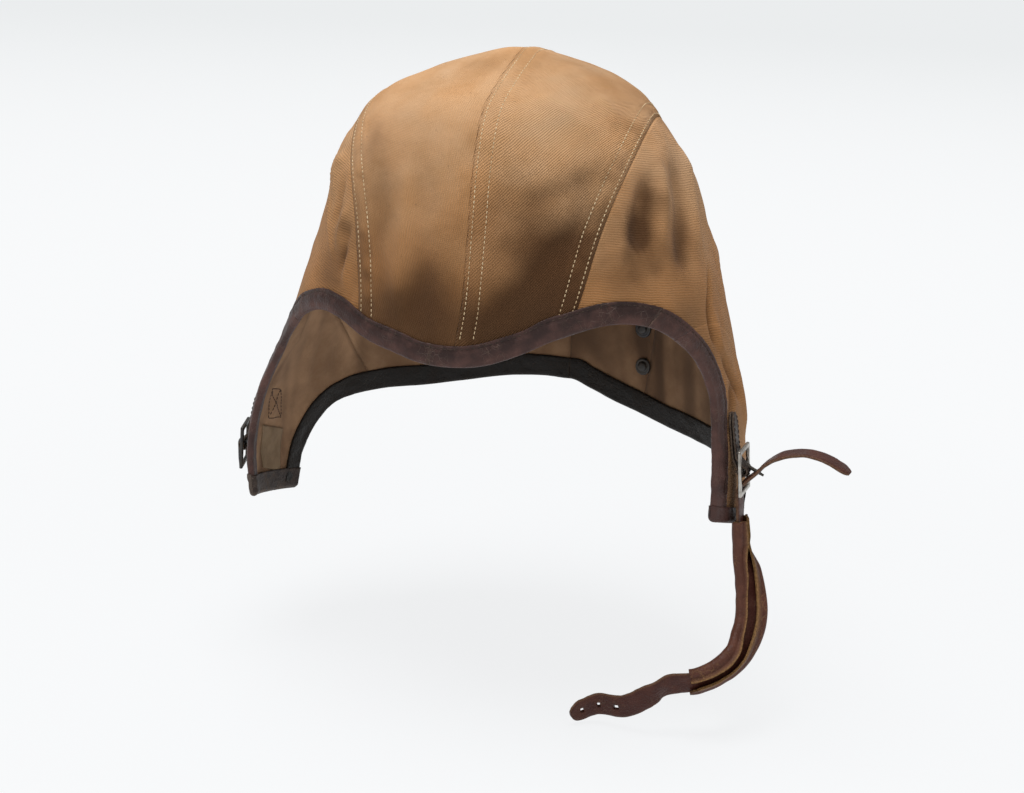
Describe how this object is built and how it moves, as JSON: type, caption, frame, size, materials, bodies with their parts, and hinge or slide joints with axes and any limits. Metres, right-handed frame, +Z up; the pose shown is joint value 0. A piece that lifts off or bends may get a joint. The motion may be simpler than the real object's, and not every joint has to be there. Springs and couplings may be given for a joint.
{
  "type": "flying helmet",
  "caption": "Tan cloth flying helmet with leather trim, folding ear flaps, metal buckles and a leather chin strap hanging from the left flap.",
  "frame": {"origin": "the inside of the crown at its top, where the helmet rests on the head", "axes": "+Z up, the wearer looks along -Y, and the wearer's left is +X"},
  "size_m": [0.3207, 0.196, 0.3128],
  "materials": {
    "tan_cloth": "worn cotton drill with a diagonal weave",
    "brown_lining": "plain brown cotton lining",
    "tape_cloth": "plain cotton seam tape",
    "dark_leather": "worn purple-brown trim leather",
    "black_leather": "near-black trim leather",
    "strap_leather": "red-brown strap leather with raw edges",
    "sleeve_leather": "folded tan-brown sleeve leather",
    "white_metal": "dulled nickel plate",
    "blacked_steel": "black enamelled steel"
  },
  "bodies": {
    "shell": {"crown_panel_left": "tan_cloth", "crown_panel_right": "tan_cloth", "side_panel_left": "tan_cloth", "side_panel_right": "tan_cloth", "crown_lining_left": "brown_lining", "crown_lining_right": "brown_lining", "side_lining_left": "brown_lining", "side_lining_right": "brown_lining", "seam_tape_centre": "tape_cloth", "seam_tape_left": "tape_cloth", "seam_tape_right": "tape_cloth", "brow_trim": "dark_leather", "temple_trim_left": "dark_leather", "temple_trim_right": "dark_leather", "nape_band": "black_leather", "press_stud_upper": "blacked_steel", "press_stud_lower": "blacked_steel"},
    "ear_flap_left": {"ear_flap_panel_left": "tan_cloth", "ear_flap_lining_left": "brown_lining", "flap_front_trim_left": "dark_leather", "flap_back_trim_left": "black_leather", "flap_tip_trim_left": "dark_leather", "chape_left": "dark_leather"},
    "ear_flap_right": {"ear_flap_panel_right": "tan_cloth", "ear_flap_lining_right": "brown_lining", "flap_front_trim_right": "dark_leather", "flap_back_trim_right": "black_leather", "flap_tip_trim_right": "dark_leather", "chape_right": "dark_leather"},
    "buckle_left": {"buckle_frame_left": "white_metal", "chin_strap_upper": "strap_leather"},
    "tongue_left": {"buckle_tongue_left": "white_metal"},
    "strap": {"chin_strap": "strap_leather", "chin_strap_sleeve": "sleeve_leather"},
    "buckle_right": {"buckle_frame_right": "blacked_steel"},
    "tongue_right": {"buckle_tongue_right": "blacked_steel"}
  },
  "joints": [
    {"name": "flap_fold_left", "type": "hinge", "parent": "shell", "child": "ear_flap_left", "pos_m": [0.12078, 0.0005, -0.17329], "axis": [0, -0.7152, 0.6989], "range_deg": [-7, 45]},
    {"name": "flap_fold_right", "type": "hinge", "parent": "shell", "child": "ear_flap_right", "pos_m": [-0.13102, 0.00907, -0.17749], "axis": [0, 0.8219, -0.5697], "range_deg": [-7, 45]},
    {"name": "buckle_swing_left", "type": "hinge", "parent": "ear_flap_left", "child": "buckle_left", "pos_m": [0.12384, -0.02106, -0.18836], "axis": [-0.0874, -0.9961, 0.0133], "range_deg": [-1, 4]},
    {"name": "tongue_turn_left", "type": "hinge", "parent": "buckle_left", "child": "tongue_left", "pos_m": [0.12384, -0.02106, -0.18836], "axis": [-0.0874, -0.9961, 0.0133], "range_deg": [-3, 3]},
    {"name": "strap_bend", "type": "hinge", "parent": "buckle_left", "child": "strap", "pos_m": [0.12474, -0.02159, -0.22137], "axis": [-0.0874, -0.9961, 0.0133], "range_deg": [-30, 45]},
    {"name": "buckle_swing_right", "type": "hinge", "parent": "ear_flap_right", "child": "buckle_right", "pos_m": [-0.14176, -0.00835, -0.21122], "axis": [-0.2335, 0.9723, 0.0048], "range_deg": [-6, 1]},
    {"name": "tongue_turn_right", "type": "hinge", "parent": "buckle_right", "child": "tongue_right", "pos_m": [-0.14176, -0.00835, -0.21122], "axis": [-0.2335, 0.9723, 0.0048], "range_deg": [0, 90]}
  ]
}
